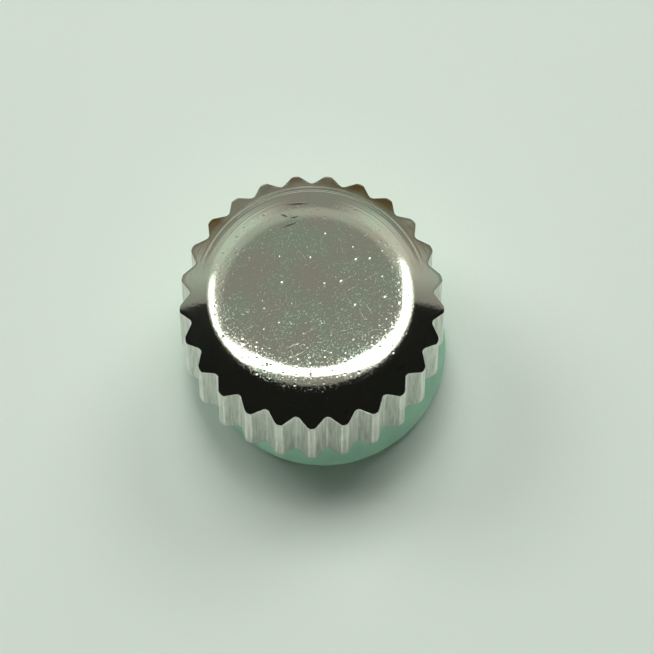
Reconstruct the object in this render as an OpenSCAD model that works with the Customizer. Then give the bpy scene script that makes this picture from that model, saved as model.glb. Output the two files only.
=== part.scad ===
// Screw-down watch crown: a fluted, polished head over a spring-loaded stem post.
// Millimetres, +Z up along the crown's axis, origin at the middle of the face that it stands on.
// One tooth points along -Y, towards the front.

/* [Grip] */
// Diameter over the tips of the teeth
head_d = 6; // [5.8:0.1:6.8]
// Height of the fluted wall, measured at a tooth tip
wall_h = 2.4; // [2.2:0.1:3.2]
// Number of teeth round the grip
teeth = 25; // [20:1:28]
// Radial depth of the gaps between the teeth
tooth_depth = 0.225; // [0.18:0.005:0.25]
// Radius rounded onto each tooth tip
tip_round = 0.12; // [0.08:0.01:0.14]
// Radius at the bottom of each gap
gap_round = 0.16; // [0.1:0.01:0.18]
// Chamfer round the lower rim
rim_chamfer = 0.06; // [0.03:0.01:0.1]

/* [Face] */
// Slope of the bevel that runs up from the teeth, in degrees
bevel_slope = 32; // [26:1:36]
// Diameter at which the bevel starts to roll over
bevel_d = 4.8; // [4.4:0.1:5.2]
// Diameter of the nearly flat middle of the face
face_d = 3.2; // [2.6:0.1:3.8]
// Slope reached at the edge of that middle, in degrees
face_slope = 5; // [2:0.5:7]
// Thickness of metal between the face and the bore, on the axis
roof_t = 0.8; // [0.65:0.05:0.9]

/* [Threaded sleeve] */
// Nominal diameter of the thread that takes the case tube
thread_d = 4.2; // [4:0.05:4.3]
// Pitch of that thread
thread_pitch = 0.35; // [0.25:0.05:0.35]
// Wall of the sleeve outside its thread, which sets the bore of the head
sleeve_wall = 0.25; // [0.2:0.01:0.3]

/* [Skirt seal] */
// Height of the soft ring below the rim
seal_h = 1.2; // [1:0.05:1.5]
// How far the ring's belly stays inside the tooth tips
seal_inset = 0.12; // [0.1:0.02:0.2]
// Inward lean of the ring's wall above the belly, in degrees
seal_lean = 8; // [4:1:10]
// Radius under the belly
belly_round = 0.25; // [0.15:0.01:0.3]
// Height of the collar that plugs the ring into the bore
collar_h = 0.3; // [0.25:0.05:0.45]
// Width of the groove round the sealing face
face_groove_w = 0.2; // [0.12:0.02:0.24]
// Depth of that groove
face_groove_d = 0.1; // [0.06:0.02:0.16]

/* [Face gasket] */
// Thickness of the soft gasket that the case tube presses on
gasket_t = 0.3; // [0.2:0.02:0.36]
// Thickness of the metal washer that holds the gasket in
washer_t = 0.18; // [0.12:0.02:0.24]

/* [Centre pipe] */
// Outside diameter of the pipe
pipe_d = 3; // [2.9:0.05:3.1]
// Thickness of its flange under the roof
flange_t = 0.3; // [0.2:0.02:0.36]
// Width across the flats of the square bore
square_w = 1.5; // [1.44:0.02:1.54]

/* [Pipe seals] */
// Thickness of each O-ring
ring_d = 0.3; // [0.26:0.01:0.32]
// Depth of the grooves that hold the O-rings
ring_groove_d = 0.22; // [0.18:0.01:0.24]
// Width of those grooves
ring_groove_w = 0.36; // [0.34:0.01:0.4]
// Height of the first groove's middle above the mouth of the pipe
ring_up = 0.85; // [0.75:0.05:0.95]
// Distance from the first groove to the second
ring_gap = 0.6; // [0.5:0.05:0.7]

/* [Stem post] */
// Height of the square head of the post
post_head_h = 0.55; // [0.45:0.05:0.65]
// Diameter of the round shank
shank_d = 1.26; // [1.2:0.02:1.3]
// How far the shank stands out of the mouth of the pipe
post_drop = 0.35; // [0.2:0.05:0.45]
// Diameter of the tapped hole for the winding stem
tap_d = 0.9; // [0.8:0.05:0.95]
// Depth of the tapped hole
tap_depth = 1.15; // [0.9:0.05:1.2]
// Travel of the post against its spring
travel = 0.8; // [0.6:0.05:0.9]

/* [Retaining bush] */
// Height of the bush pressed into the mouth of the pipe
bush_t = 0.4; // [0.3:0.05:0.5]
// How deep the bush sits inside the mouth
bush_inset = 0.1; // [0.05:0.05:0.15]
// Wall left round the corners of the square where the bush is seated
bush_step = 0.05; // [0.03:0.01:0.08]

/* [Spring] */
// Diameter of the spring wire
wire_d = 0.13; // [0.1:0.01:0.14]
// Number of turns
turns = 4.5; // [3.5:0.5:5]
// Thickness of the thrust washer over the spring
thrust_t = 0.1; // [0.06:0.02:0.14]

/* [Fits] */
// Running clearance on each side of a sliding fit
slip = 0.02; // [0.015:0.005:0.03]
// Clearance round the outside of the case tube
tube_room = 0.04; // [0.02:0.01:0.05]
// Chamfer on the small edges
edge = 0.05; // [0.03:0.01:0.06]

/* [Hidden] */
$fn = 96;

steel = [0.74, 0.76, 0.72];
steel_dark = [0.6, 0.61, 0.6];
nickel = [0.78, 0.74, 0.62];
teal_rubber = [0.45, 0.62, 0.55];
black_rubber = [0.12, 0.12, 0.12];

// Overshoot of a cutting tool, so that no cut ends level with a face
cut = 0.5;

// Straight steps that stand in for each arc of an outline
tooth_steps = 6;
roll_steps = 10;
face_steps = 3;
belly_steps = 8;

// Radii of the head, the bore and the thread
tip_r = head_d / 2;
gap_r = tip_r - tooth_depth;
bevel_r = bevel_d / 2;
face_r = face_d / 2;
root_r = thread_d / 2;
bore_r = root_r + sleeve_wall;
crest_r = root_r - thread_pitch * sqrt(3) / 2 * 5 / 8;
tube_r = root_r + tube_room;

// Heights from the standing face up to the top of the face
z_rim = seal_h;
z_tip = z_rim + wall_h;
z_bevel = z_tip + (tip_r - bevel_r) * tan(bevel_slope);
roll_r = (bevel_r - face_r) / (sin(bevel_slope) - sin(face_slope));
z_face = z_bevel + roll_r * (cos(face_slope) - cos(bevel_slope));
crown_r = face_r / sin(face_slope);
z_top = z_face + crown_r * (1 - cos(face_slope));
z_collar = z_rim + collar_h;

// Heights of the inner pieces, stacked downwards from the roof of the bore
z_roof = z_top - roof_t;
z_flange = z_roof - flange_t;
z_gasket = z_flange - gasket_t;
z_washer = z_gasket - washer_t;
z_thrust = z_roof - thrust_t;
spring_room = travel + (turns + 1) * wire_d;
z_post_top = z_thrust - spring_room;
z_shoulder = z_post_top - post_head_h;
z_bush_top = z_shoulder - slip;
z_bush = z_bush_top - bush_t;
z_pipe = z_bush - bush_inset;
z_post = z_pipe - post_drop;

// Radii of the pieces on the axis
pipe_r = pipe_d / 2;
ring_seat_r = pipe_r - ring_groove_d;
bush_r = square_w * sqrt(2) / 2 + bush_step;
shank_r = shank_d / 2;
head_w = square_w - 2 * slip;

// Points of an arc about [cx, cy], from angle a0 to a1 in n steps
function arc(cx, cy, r, a0, a1, n) =
    [for (k = [0:n]) let (a = a0 + (a1 - a0) * k / n) [cx + r * cos(a), cy + r * sin(a)]];

function turned(p, a) = [p[0] * cos(a) - p[1] * sin(a), p[0] * sin(a) + p[1] * cos(a)];

// Outline of the grip: a tip arc and a gap arc for each tooth, joined by straight flanks.
// One straight line touches both arcs where their normals lie at the flank angle.
half_pitch = 180 / teeth;
tip_c = tip_r - tip_round;
gap_c = gap_r + gap_round;
span = [gap_c * cos(half_pitch) - tip_c, gap_c * sin(half_pitch)];
flank = atan2(span[1], span[0]) - acos((tip_round + gap_round) / norm(span));
gap_sweep = flank - half_pitch;

function tooth_points() = concat(
    arc(tip_c, 0, tip_round, -flank, flank, tooth_steps),
    [for (p = arc(gap_c, 0, gap_round, 180 + gap_sweep, 180 - gap_sweep, tooth_steps))
        turned(p, half_pitch)]);

function grip_outline() =
    [for (i = [0:teeth - 1]) for (p = tooth_points()) turned(p, i * 360 / teeth - 90)];

// Turned outline of the head: rim, bevel, the roll over the shoulder and the crowned face.
// Above and below the wall it runs past the tips, so that the teeth alone end the wall.
function head_profile() = concat(
    [[0, z_rim],
     [tip_r - rim_chamfer, z_rim],
     [tip_r + cut, z_rim + rim_chamfer + cut],
     [tip_r + cut, z_tip - cut * tan(bevel_slope)]],
    arc(bevel_r - roll_r * sin(bevel_slope), z_bevel - roll_r * cos(bevel_slope),
        roll_r, 90 - bevel_slope, 90 - face_slope, roll_steps),
    arc(0, z_top - crown_r, crown_r, 90 - face_slope, 90, face_steps));

// A flat ring, the form of every washer here
module flat_ring(z, h, outer_r, inner_r) {
    translate([0, 0, z])
    difference() {
        cylinder(h = h, r = outer_r);
        translate([0, 0, -cut])
        cylinder(h = h + 2 * cut, r = inner_r);
    }
}

// A countersink that opens downwards at height z round a hole of radius r
module countersink(z, r) {
    translate([0, 0, z - cut])
    cylinder(h = edge + cut, r1 = r + edge + cut, r2 = r);
}

// The visible cap: teeth, bevel and face in one piece of steel, bored from below
module fluted_shell() {
    color(steel)
    difference() {
        intersection() {
            translate([0, 0, z_rim])
            linear_extrude(height = z_top - z_rim + cut)
            polygon(grip_outline());
            rotate_extrude()
            polygon(head_profile());
        }
        translate([0, 0, z_rim - cut])
        cylinder(h = z_roof - z_rim + cut, r = bore_r);
        countersink(z_rim, bore_r);
    }
}

// Soft ring between the head and the case, with a collar that plugs it into the bore.
// Its wall bellies out near the foot, and a groove round the foot leaves two lips.
module skirt_seal() {
    belly_r = tip_r - seal_inset;
    foot_r = belly_r - belly_round;
    lean = (z_rim - belly_round * (1 + sin(seal_lean))) * tan(seal_lean);
    color(teal_rubber)
    difference() {
        rotate_extrude()
        polygon(concat(
            [[tube_r, 0]],
            arc(foot_r, belly_round, belly_round, -90, seal_lean, belly_steps),
            [[foot_r + belly_round * cos(seal_lean) - lean, z_rim],
             [bore_r + edge, z_rim],
             [bore_r, z_rim + edge],
             [bore_r, z_collar],
             [tube_r, z_collar]]));
        rotate_extrude()
        translate([(tube_r + foot_r) / 2, 0])
        polygon([[-face_groove_w / 2, 0],
                 [-face_groove_w / 2, -cut],
                 [face_groove_w / 2, -cut],
                 [face_groove_w / 2, 0],
                 [0, face_groove_d]]);
    }
}

// Threaded insert for the case tube. The thread is cut as rings of its true pitch and form:
// 60 degree flanks, a crest a quarter of the pitch wide and a root an eighth of it.
module threaded_sleeve() {
    crest_w = thread_pitch / 4;
    root_w = thread_pitch / 8;
    mouth_w = thread_pitch - crest_w;
    first = z_collar + 2 * edge;
    rings = floor((z_washer - first - crest_w) / thread_pitch);
    color(nickel)
    rotate_extrude()
    polygon(concat(
        [[bore_r, z_collar],
         [bore_r, z_washer],
         [crest_r, z_washer]],
        [for (i = [rings - 1:-1:0]) let (z = first + thread_pitch * i) each [
            [crest_r, z + mouth_w],
            [root_r, z + (mouth_w + root_w) / 2],
            [root_r, z + (mouth_w - root_w) / 2],
            [crest_r, z]]],
        [[crest_r, z_collar + edge],
         [crest_r + edge, z_collar]]));
}

// Flat metal ring that keeps the face gasket in place
module gasket_washer() {
    color(steel_dark)
    flat_ring(z_washer, washer_t, bore_r, tube_r);
}

// Soft flat gasket that the end of the case tube presses on
module face_gasket() {
    color(black_rubber)
    flat_ring(z_gasket, gasket_t, bore_r, pipe_r);
}

// Flanged pipe on the axis, with the square bore that turns the post and two seal grooves
module centre_pipe() {
    color(steel_dark)
    difference() {
        union() {
            translate([0, 0, z_pipe + edge])
            cylinder(h = z_roof - z_pipe - edge, r = pipe_r);
            translate([0, 0, z_pipe])
            cylinder(h = edge, r1 = pipe_r - edge, r2 = pipe_r);
            translate([0, 0, z_flange])
            cylinder(h = flange_t, r = bore_r);
        }
        translate([-square_w / 2, -square_w / 2, z_pipe - cut])
        cube([square_w, square_w, z_roof - z_pipe + 2 * cut]);
        translate([0, 0, z_pipe - cut])
        cylinder(h = z_bush_top - z_pipe + cut, r = bush_r);
        for (k = [0, 1])
            flat_ring(ring_z(k) - ring_groove_w / 2, ring_groove_w, pipe_r + cut, ring_seat_r);
    }
}

// Height of the middle of pipe groove k, counted from the mouth
function ring_z(k) = z_pipe + ring_up + k * ring_gap;

// O-ring stretched over the pipe, so it lies flat against the bottom of its groove
module o_ring(k) {
    flat = ring_d / 30;
    color(black_rubber)
    translate([0, 0, ring_z(k)])
    difference() {
        rotate_extrude()
        translate([ring_seat_r + ring_d / 2 - flat, 0])
        circle(d = ring_d);
        translate([0, 0, -ring_d])
        cylinder(h = 2 * ring_d, r = ring_seat_r);
    }
}

// Thrust washer between the roof and the spring
module thrust_washer() {
    color(steel)
    flat_ring(z_thrust, thrust_t, head_w / 2, head_w / 4);
}

// Compression spring: round wire swept along a helix, with a nearly closed turn at each end
spring_r = (head_w - wire_d) / 2;
coil_z0 = z_post_top + wire_d / 2;
coil_z1 = z_thrust - wire_d / 2;
closed_rise = wire_d * 1.15;
open_rise = (coil_z1 - coil_z0 - 2 * closed_rise) / (turns - 2);
wire_sides = 8;
turn_steps = 20;

function coil_z(t) =
    t < 1 ? coil_z0 + closed_rise * t
    : t > turns - 1 ? coil_z1 - closed_rise * (turns - t)
    : coil_z0 + closed_rise + open_rise * (t - 1);

module return_spring() {
    rings = turn_steps * turns;
    points = [for (i = [0:rings]) for (j = [0:wire_sides - 1])
        let (a = 360 * i / turn_steps,
             b = 360 * (j + 0.5) / wire_sides,
             r = spring_r + wire_d / 2 * cos(b))
        [r * cos(a), r * sin(a), coil_z(i / turn_steps) + wire_d / 2 * sin(b)]];
    sides = [for (i = [0:rings - 1]) for (j = [0:wire_sides - 1])
        let (p = i * wire_sides + j,
             q = i * wire_sides + (j + 1) % wire_sides)
        each [[p, q, q + wire_sides], [p, q + wire_sides, p + wire_sides]]];
    last = rings * wire_sides;
    ends = [for (j = [1:wire_sides - 2])
        each [[0, j + 1, j], [last, last + j, last + j + 1]]];
    color(steel)
    polyhedron(points = points, faces = concat(sides, ends));
}

// Bush pressed into the mouth of the pipe, which stops the post from falling out
module retaining_bush() {
    color(nickel)
    difference() {
        flat_ring(z_bush, bush_t, bush_r, shank_r + slip);
        countersink(z_bush, shank_r + slip);
    }
}

// Sliding post: the square head turns with the pipe, and the stem screws into the shank
module stem_post() {
    color(steel)
    difference() {
        union() {
            intersection() {
                translate([-head_w / 2, -head_w / 2, z_shoulder])
                cube([head_w, head_w, post_head_h]);
                translate([0, 0, z_shoulder])
                cylinder(h = post_head_h, r = head_w * sqrt(2) / 2 - edge);
            }
            translate([0, 0, z_post + edge])
            cylinder(h = z_post_top - z_post - edge, r = shank_r);
            translate([0, 0, z_post])
            cylinder(h = edge, r1 = shank_r - edge, r2 = shank_r);
        }
        translate([0, 0, z_post - cut])
        cylinder(h = tap_depth + cut, r = tap_d / 2);
        countersink(z_post, tap_d / 2);
    }
}

fluted_shell();
skirt_seal();
threaded_sleeve();
gasket_washer();
face_gasket();
centre_pipe();
o_ring(0);  // lower_o_ring
o_ring(1);  // upper_o_ring
thrust_washer();
return_spring();
retaining_bush();
stem_post();
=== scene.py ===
# %% [markdown]
# # Dressing a screw-down watch crown
#
# The crown is a 6 mm steel head with a coin-edge grip. Inside it are a sleeve with the thread for
# the case tube, a centre pipe, seals, a spring and a sliding post that takes the winding stem.
# The working model already holds every piece at its real size, but its meshes are coarse, and a
# polished surface shows each facet. So this lesson remakes every piece as a fine mesh in the same
# place, gives it the finish of its real material, and lights the crown like a small object on a
# pale table.

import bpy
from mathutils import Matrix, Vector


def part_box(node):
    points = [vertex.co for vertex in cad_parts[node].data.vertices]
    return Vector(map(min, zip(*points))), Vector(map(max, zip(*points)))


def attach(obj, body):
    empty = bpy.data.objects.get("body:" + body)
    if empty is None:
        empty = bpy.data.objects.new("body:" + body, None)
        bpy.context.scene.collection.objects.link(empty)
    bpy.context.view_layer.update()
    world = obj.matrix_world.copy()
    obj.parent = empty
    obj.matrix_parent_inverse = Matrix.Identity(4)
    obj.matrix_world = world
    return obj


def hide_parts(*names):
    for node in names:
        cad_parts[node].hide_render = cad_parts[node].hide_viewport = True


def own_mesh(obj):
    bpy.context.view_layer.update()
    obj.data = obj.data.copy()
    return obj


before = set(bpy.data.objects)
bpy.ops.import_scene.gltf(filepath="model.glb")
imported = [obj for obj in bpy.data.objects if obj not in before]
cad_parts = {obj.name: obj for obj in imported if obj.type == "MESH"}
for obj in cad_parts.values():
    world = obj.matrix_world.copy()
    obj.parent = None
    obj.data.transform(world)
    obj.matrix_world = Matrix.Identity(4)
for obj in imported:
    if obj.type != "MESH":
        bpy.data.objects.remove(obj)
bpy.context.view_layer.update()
print("nodes:", ", ".join(sorted(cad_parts)))

# %% Bring in what the lesson uses
import math

import bmesh
import bpy
from mathutils import Vector

MM = 0.001


def levels(node):
    """Lowest and highest level of a node of the working model, in millimetres."""
    low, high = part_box(node)
    return low.z / MM, high.z / MM


def reach(node):
    """Largest radius of a round node, in millimetres."""
    low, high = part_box(node)
    return max(-low.y, high.y, high.x, -low.x) / MM


# %% [markdown]
# ## Adding a node
#
# Node trees are wordy to build by hand. One small function adds a node with its settings, and fills
# its inputs with values and links. Every tree below is built with it.

# %% A node and its inputs
def fill(node, inputs):
    """Gives inputs a value or a link, by their names, or in their order from a list."""
    links = node.id_data.links
    pairs = inputs.items() if isinstance(inputs, dict) else enumerate(inputs)
    for key, value in pairs:
        if isinstance(value, bpy.types.Node):
            links.new(value.outputs[0], node.inputs[key])
        elif isinstance(value, bpy.types.NodeSocket):
            links.new(value, node.inputs[key])
        else:
            node.inputs[key].default_value = value


def add(tree, kind, inputs=(), **settings):
    """Adds a node of a kind, changes its settings and fills its inputs."""
    node = tree.nodes.new(kind)
    for name, value in settings.items():
        setattr(node, name, value)
    fill(node, inputs)
    return node


# %% [markdown]
# ## Repeating a slice round the axis
#
# Nearly every piece of a crown is turned on a lathe or repeats round its axis: the head is one tooth
# 25 times over. Such a piece could be spun in mesh code, but a Geometry Nodes tree keeps the rule in
# sight: it takes one slice, turns copies of it round the axis, and welds them where they meet.

# %% The tree that turns copies of a slice
def begin_tree(name, inputs, result):
    """A tree with named inputs of given kinds and one result, and the sockets of the inputs."""
    tree = bpy.data.node_groups.new(name, "GeometryNodeTree")
    for socket, kind in inputs.items():
        tree.interface.new_socket(socket, in_out="INPUT", socket_type="NodeSocket" + kind)
    tree.interface.new_socket(result, in_out="OUTPUT", socket_type="NodeSocketGeometry")
    return tree, add(tree, "NodeGroupInput").outputs


def turned_copies_tree():
    """A tree that repeats its input round the Z axis and welds the copies."""
    tree, given = begin_tree("turned_copies", {
        "Slice": "Geometry", "Copies": "Int", "Angle": "Float", "Weld": "Float",
        "Material": "Material"}, "Piece")
    count = add(tree, "GeometryNodeInputIndex")
    turn = add(tree, "ShaderNodeMath", (count, given["Angle"]), operation="MULTIPLY")
    twist = add(tree, "ShaderNodeCombineXYZ", {"Z": turn})
    points = add(tree, "GeometryNodePoints", {"Count": given["Copies"]})
    rotation = add(tree, "FunctionNodeEulerToRotation", [twist])
    copies = add(tree, "GeometryNodeInstanceOnPoints",
                 {"Points": points, "Instance": given["Slice"], "Rotation": rotation})
    real = add(tree, "GeometryNodeRealizeInstances", [copies])
    whole = add(tree, "GeometryNodeMergeByDistance", {"Geometry": real, "Distance": given["Weld"]})
    finish = add(tree, "GeometryNodeSetMaterial", {"Geometry": whole, "Material": given["Material"]})
    add(tree, "NodeGroupOutput", {"Piece": finish})
    return tree


TURNED_COPIES = turned_copies_tree()
# Points closer than this are welded, in metres
WELD = 1e-7


def run_tree(piece, tree, values):
    """Runs a tree on a piece and keeps the result as the piece's own plain mesh."""
    modifier = piece.modifiers.new(tree.name, "NODES")
    modifier.node_group = tree
    for item in tree.interface.items_tree:
        if item.name in values:
            modifier[item.identifier] = values[item.name]
    evaluated = piece.evaluated_get(bpy.context.evaluated_depsgraph_get())
    mesh = bpy.data.meshes.new_from_object(evaluated)
    piece.modifiers.remove(modifier)
    old = piece.data
    piece.data = mesh
    bpy.data.meshes.remove(old)
    mesh.name = piece.name
    return piece


def repeat_round(piece, material, copies):
    """Repeats a slice until it fills the whole turn."""
    return run_tree(piece, TURNED_COPIES, {"Copies": copies, "Angle": 2 * math.pi / copies,
                                           "Weld": WELD, "Material": material})


# %% [markdown]
# ## From a profile to a slice
#
# A lathe cuts a profile: a line of radius and height that the tool follows. A slice is that profile
# drawn at a few neighbouring angles and joined by faces. Profiles here run so that the metal lies on
# the left hand, which makes the faces point outwards. A radius may also be a function of the angle,
# which is how the square bore and the square head come out of the same code.

# %% Profiles and slices
TURN_COPIES = 24
TURN_COLUMNS = 6
SQUARE_COLUMNS = 32


def arc(centre, radius, start, end, steps):
    """Points of an arc in a profile, between two angles in degrees."""
    angles = [math.radians(start + (end - start) * k / steps) for k in range(steps + 1)]
    return [(centre[0] + radius * math.cos(a), centre[1] + radius * math.sin(a)) for a in angles]


def new_piece(name, rows, closed=True, marks=()):
    """An object whose faces join rows of points in millimetres. Marks are named rows of values."""
    wide = len(rows[0])
    pairs = list(zip(range(len(rows)), range(1, len(rows))))
    if closed:
        pairs.append((len(rows) - 1, 0))
    faces = [(i * wide + k, i * wide + k + 1, j * wide + k + 1, j * wide + k)
             for i, j in pairs for k in range(wide - 1)]
    mesh = bpy.data.meshes.new(name)
    mesh.from_pydata([[c * MM for c in p] for row in rows for p in row], [], faces)
    for mark, values in dict(marks).items():
        layer = mesh.attributes.new(mark, "FLOAT", "POINT")
        layer.data.foreach_set("value", [v for row in values for v in row])
    piece = bpy.data.objects.new(name, mesh)
    bpy.context.scene.collection.objects.link(piece)
    return piece


def radius_at(radius, angle):
    """A radius at an angle, whether it is a number or a function of the angle."""
    return radius(angle) if callable(radius) else radius


def turned(name, profile, material, closed=True, copies=TURN_COPIES, columns=TURN_COLUMNS):
    """A whole turned piece from its profile."""
    span = 2 * math.pi / copies
    angles = [span * (k / columns - 0.5) for k in range(columns + 1)]
    rows = [[(radius_at(r, a) * math.cos(a), radius_at(r, a) * math.sin(a), z) for a in angles]
            for r, z in profile]
    return repeat_round(new_piece(name, rows, closed), material, copies)


FILLET_STEPS = 4


def rounded(corners, radius, steps=FILLET_STEPS):
    """Closes a profile's corners with small fillets, as every edge of a turned piece is broken."""
    points = []
    for k, corner in enumerate(corners):
        before = Vector(corners[k - 1]) - Vector(corner)
        after = Vector(corners[(k + 1) % len(corners)]) - Vector(corner)
        # Two fillets on one short side take less than half of it each
        trim = min(radius, before.length / 2.2, after.length / 2.2)
        start = Vector(corner) + before.normalized() * trim
        end = Vector(corner) + after.normalized() * trim
        for step in range(steps + 1):
            t = step / steps
            point = start * (1 - t) ** 2 + Vector(corner) * 2 * t * (1 - t) + end * t ** 2
            points.append((point.x, point.y))
    return points


def smooth(piece, degrees=38):
    """Shades a piece smooth, apart from edges sharper than the angle."""
    piece.data.shade_smooth()
    piece.data.set_sharp_from_angle(angle=math.radians(degrees))
    return piece


def measure(piece):
    """Prints a piece's faces, volume and open edges. A negative volume means inside-out faces."""
    shape = bmesh.new()
    shape.from_mesh(piece.data)
    volume = shape.calc_volume(signed=True) / MM ** 3
    open_edges = sum(not edge.is_manifold for edge in shape.edges)
    print(f"{piece.name}: {len(shape.faces)} faces, {volume:.3f} mm3, {open_edges} open edges")
    shape.free()


def place(piece, body, slot, *nodes):
    """Finishes a piece: smooth shading, the body it rides on and the nodes it replaces. Its slot is
    not used.
    """
    smooth(piece)
    measure(piece)
    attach(piece, body)
    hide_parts(*nodes)


# %% [markdown]
# ## Colour
#
# Colours are easiest to pick as sRGB hex values, the way a screen shows them. Shaders work in linear
# light, so one function turns the one into the other.

# %% Hex colours to linear light
def colour(code):
    """A linear colour with alpha from an sRGB hex value such as c8ccc4."""
    parts = [int(code[k:k + 2], 16) / 255 for k in (0, 2, 4)]
    linear = [c / 12.92 if c <= 0.04045 else ((c + 0.055) / 1.055) ** 2.4 for c in parts]
    return (*linear, 1.0)


def new_material(name):
    """An empty material, its tree, its shader and its Object coordinates in millimetres."""
    material = bpy.data.materials.new(name)
    material.use_nodes = True
    tree = material.node_tree
    tree.nodes.clear()
    shader = add(tree, "ShaderNodeBsdfPrincipled")
    add(tree, "ShaderNodeOutputMaterial", {"Surface": shader})
    spot = add(tree, "ShaderNodeTexCoord").outputs["Object"]
    per_mm = (1 / MM, 1 / MM, 1 / MM)
    millimetres = add(tree, "ShaderNodeMapping", {"Vector": spot, "Scale": per_mm})
    return material, tree, shader, millimetres


# %% [markdown]
# ## Polished steel
#
# The face and bevel are stainless steel, ground and then polished on a soft wheel. The wheel leaves a
# mirror that is very slightly wavy, and wear adds hairline scratches and pinprick dents. Each dent is
# a tiny hollow mirror, so near a bright reflection the dents sparkle, and far from it they vanish.
# All of these are bumps, laid one over the other from the widest to the finest.

# %% Waves, grain and dents
# Dents: cells per mm, share of cells without a dent, largest radius as a part of a cell, depth in mm
DENTS = ((3.0, 0.35, 0.14, 0.011), (6.5, 0.35, 0.36, 0.0044), (17.0, 0.6, 0.42, 0.0016))


def worn_mirror(tree, mm, handled):
    """Bumps of the wheel, and dents where the steel is handled."""
    # The waves are about 0.8 mm long and the grain 0.06 mm
    wave = add(tree, "ShaderNodeTexNoise", {"Vector": mm, "Scale": 1.3, "Detail": 1.0})
    bump = add(tree, "ShaderNodeBump", {"Height": wave, "Distance": 0.003 * MM})
    grain = add(tree, "ShaderNodeTexNoise", {"Vector": mm, "Scale": 16.0, "Detail": 2.0})
    bump = add(tree, "ShaderNodeBump", {"Height": grain, "Distance": 0.0008 * MM, "Normal": bump})
    for scale, share, size, depth in DENTS:
        cells = add(tree, "ShaderNodeTexVoronoi", {"Vector": mm, "Scale": scale},
                    voronoi_dimensions="2D")
        luck = add(tree, "ShaderNodeSeparateColor", [cells.outputs["Color"]])
        width = add(tree, "ShaderNodeMapRange", {"Value": luck, "From Min": share, "To Max": size})
        inside = add(tree, "ShaderNodeMath", (width, cells.outputs["Distance"]),
                     operation="SUBTRACT")
        bowl = add(tree, "ShaderNodeMapRange", {"Value": inside, "From Max": size},
                   interpolation_type="SMOOTHSTEP")
        bowl = add(tree, "ShaderNodeMath", (bowl, handled), operation="MULTIPLY")
        bump = add(tree, "ShaderNodeBump", {"Height": bowl, "Distance": depth * MM, "Normal": bump},
                   invert=True)
    return bump


# %% Scores of a slipped tool
# X and Y of the middle, direction in radians, half length, half width and depth, in mm
SCORES = ((-0.62, 1.86, -0.5, 0.13, 0.03, 0.005), (-0.4, 1.81, 0.15, 0.15, 0.028, 0.005),
          (-0.33, 2.17, 0.05, 0.34, 0.05, 0.006), (0.78, -2.62, 0.9, 0.10, 0.02, 0.002),
          (2.0, -1.62, 0.8, 0.16, 0.03, 0.0018), (-0.5, 1.62, 0.35, 0.28, 0.03, 0.002))


def scored(tree, flat, wall, bump):
    """Cuts the scores into the bumps. Returns the bumps, and the scores as places for painted shade.
    """
    painted_score_shade = 0.0
    for x, y, angle, length, width, depth in SCORES:
        spot = add(tree, "ShaderNodeMapping", {
            "Vector": flat, "Location": (x, y, 0), "Rotation": (0, 0, angle),
            "Scale": (length, width, 1.0)}, vector_type="TEXTURE")
        away = add(tree, "ShaderNodeVectorMath", [spot], operation="LENGTH").outputs["Value"]
        score = add(tree, "ShaderNodeMapRange", {"Value": away, "From Min": 1.0, "From Max": 0.0},
                    interpolation_type="SMOOTHSTEP")
        score = add(tree, "ShaderNodeMath", (score, wall), operation="SUBTRACT", use_clamp=True)
        bump = add(tree, "ShaderNodeBump", {"Height": score, "Distance": depth * MM, "Normal": bump},
                   invert=True)
        # Each score is also painted dark, as shade in its groove
        painted_score_shade = add(tree, "ShaderNodeMath", (score, painted_score_shade), operation="MAXIMUM")
    return bump, painted_score_shade


# %% [markdown]
# Two tools came before the polishing wheel. A lathe turned the bevel, and its lines are best seen
# behind, where nothing has rubbed them. A knurling wheel rolled the flutes, so there the marks run
# up and down, over a sandy grain that the tool tore.

# %% Lines of the lathe and marks of the roller
GROOVE_R = 2.56
GROOVE_HALF = 0.03


def lathe_lines(tree, radius, behind, bump):
    """Adds rings to the bevel, about 0.1 mm apart. One of them is a groove."""
    ring = add(tree, "ShaderNodeCombineXYZ", {"X": radius})
    lathe = add(tree, "ShaderNodeTexNoise", {"Vector": ring, "Scale": 9.0, "Detail": 2.0})
    bevel = add(tree, "ShaderNodeMapRange", {"Value": radius, "From Min": 2.3, "From Max": 2.45})
    bevel = add(tree, "ShaderNodeMath", (bevel, behind), operation="MULTIPLY")
    groove = add(tree, "ShaderNodeMath", (radius, GROOVE_R, GROOVE_HALF), operation="COMPARE")
    raised = add(tree, "ShaderNodeMath", (groove, -0.3, lathe), operation="MULTIPLY_ADD")
    lines = add(tree, "ShaderNodeMath", (raised, bevel), operation="MULTIPLY")
    return add(tree, "ShaderNodeBump", {"Height": lines, "Distance": 0.02 * MM, "Normal": bump})


def rolled_marks(tree, mm, wall, bump):
    """Adds upright marks and grain to the flutes, about 0.06 mm wide. Returns bumps and marks."""
    along = add(tree, "ShaderNodeMapping", {"Vector": mm, "Scale": (1.0, 1.0, 0.05)})
    rolled = add(tree, "ShaderNodeTexNoise", {"Vector": along, "Scale": 18.0, "Detail": 3.0})
    sand = add(tree, "ShaderNodeTexNoise", {"Vector": mm, "Scale": 15.0, "Detail": 3.0})
    for marks, depth in ((rolled, 0.014), (sand, 0.024)):
        on_wall = add(tree, "ShaderNodeMath", (marks, wall), operation="MULTIPLY")
        bump = add(tree, "ShaderNodeBump", {"Height": on_wall, "Distance": depth * MM,
                                            "Normal": bump})
    return bump, rolled


# %% [markdown]
# Where steel has lost its polish it spreads a highlight into a haze. Hairlines are made from noise
# that is drawn out along two crossing directions and cut off, so that only its crests show.

# %% Hairlines and dull specks
# Hairlines, about 0.6 mm long: how far they are turned from the Y axis, in radians, and how many
# times longer than wide they are
HAIRLINES = ((0.5, 18.0), (-1.1, 15.0))


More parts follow.
